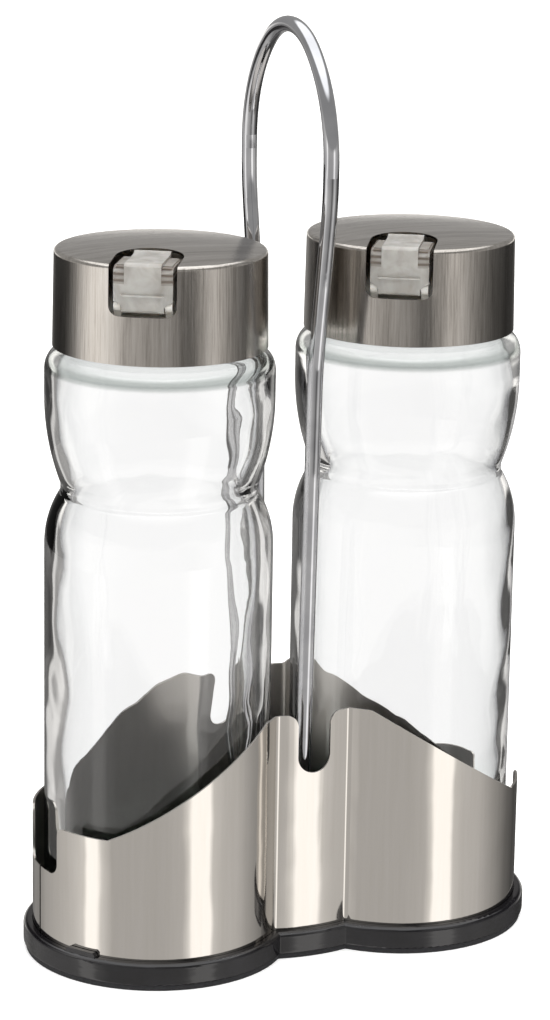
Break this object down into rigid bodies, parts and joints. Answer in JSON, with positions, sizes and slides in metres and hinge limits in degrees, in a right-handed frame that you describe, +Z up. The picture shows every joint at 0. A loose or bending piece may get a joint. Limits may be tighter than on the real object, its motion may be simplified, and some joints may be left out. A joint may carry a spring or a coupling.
{
  "type": "cruet set",
  "caption": "Oil and vinegar cruets of clear glass with brushed steel flip-spout caps, standing in a polished steel sleeve on a black tray with a wire carrying loop.",
  "frame": {"origin": "centre of the underside, midway between the two cruets", "axes": "+Z up, +X along the row of cruets towards the right one, -Y towards the front"},
  "size_m": [0.1384, 0.0692, 0.2413],
  "materials": {
    "mat_rubber": "matt foam rubber",
    "tray_plastic": "moulded, glossy black",
    "sleeve_steel": "polished stainless sheet",
    "handle_chrome": "bright plated wire",
    "fastener_steel": "zinc plated",
    "bottle_glass": "clear pressed soda-lime glass",
    "cap_steel": "brushed stainless, fine upright grain",
    "liner_plastic": "natural polypropylene",
    "seal_silicone": "clear silicone",
    "spout_plastic": "milky translucent polypropylene"
  },
  "bodies": {
    "holder": {"base_mat": "mat_rubber", "base_tray": "tray_plastic", "sleeve_front": "sleeve_steel", "sleeve_rear": "sleeve_steel", "handle_loop": "handle_chrome", "handle_nuts": "fastener_steel", "handle_washers": "fastener_steel"},
    "left_cruet": {"left_bottle": "bottle_glass"},
    "left_cap": {"left_cap_shell": "cap_steel", "left_cap_liner": "liner_plastic", "left_seal_ring": "seal_silicone", "left_spout_gasket": "seal_silicone", "left_spout_pin": "fastener_steel"},
    "left_spout": {"left_flip_spout": "spout_plastic"},
    "right_cruet": {"right_bottle": "bottle_glass"},
    "right_cap": {"right_cap_shell": "cap_steel", "right_cap_liner": "liner_plastic", "right_seal_ring": "seal_silicone", "right_spout_gasket": "seal_silicone", "right_spout_pin": "fastener_steel"},
    "right_spout": {"right_flip_spout": "spout_plastic"}
  },
  "joints": [
    {"name": "left_cruet_lift", "type": "slide", "parent": "holder", "child": "left_cruet", "axis": [0, 0, 1], "range_m": [0, 0.08]},
    {"name": "left_cap_lift", "type": "slide", "parent": "left_cruet", "child": "left_cap", "axis": [0, 0, 1], "range_m": [0, 0.03]},
    {"name": "left_spout_flip", "type": "hinge", "parent": "left_cap", "child": "left_spout", "pos_m": [-0.04716, -0.0201, 0.1747], "axis": [0.848, -0.5299, 0], "range_deg": [0, 75]},
    {"name": "right_cruet_lift", "type": "slide", "parent": "holder", "child": "right_cruet", "axis": [0, 0, 1], "range_m": [0, 0.08]},
    {"name": "right_cap_lift", "type": "slide", "parent": "right_cruet", "child": "right_cap", "axis": [0, 0, 1], "range_m": [0, 0.03]},
    {"name": "right_spout_flip", "type": "hinge", "parent": "right_cap", "child": "right_spout", "pos_m": [0.02204, -0.0201, 0.1747], "axis": [0.848, -0.5299, 0], "range_deg": [0, 75]}
  ]
}
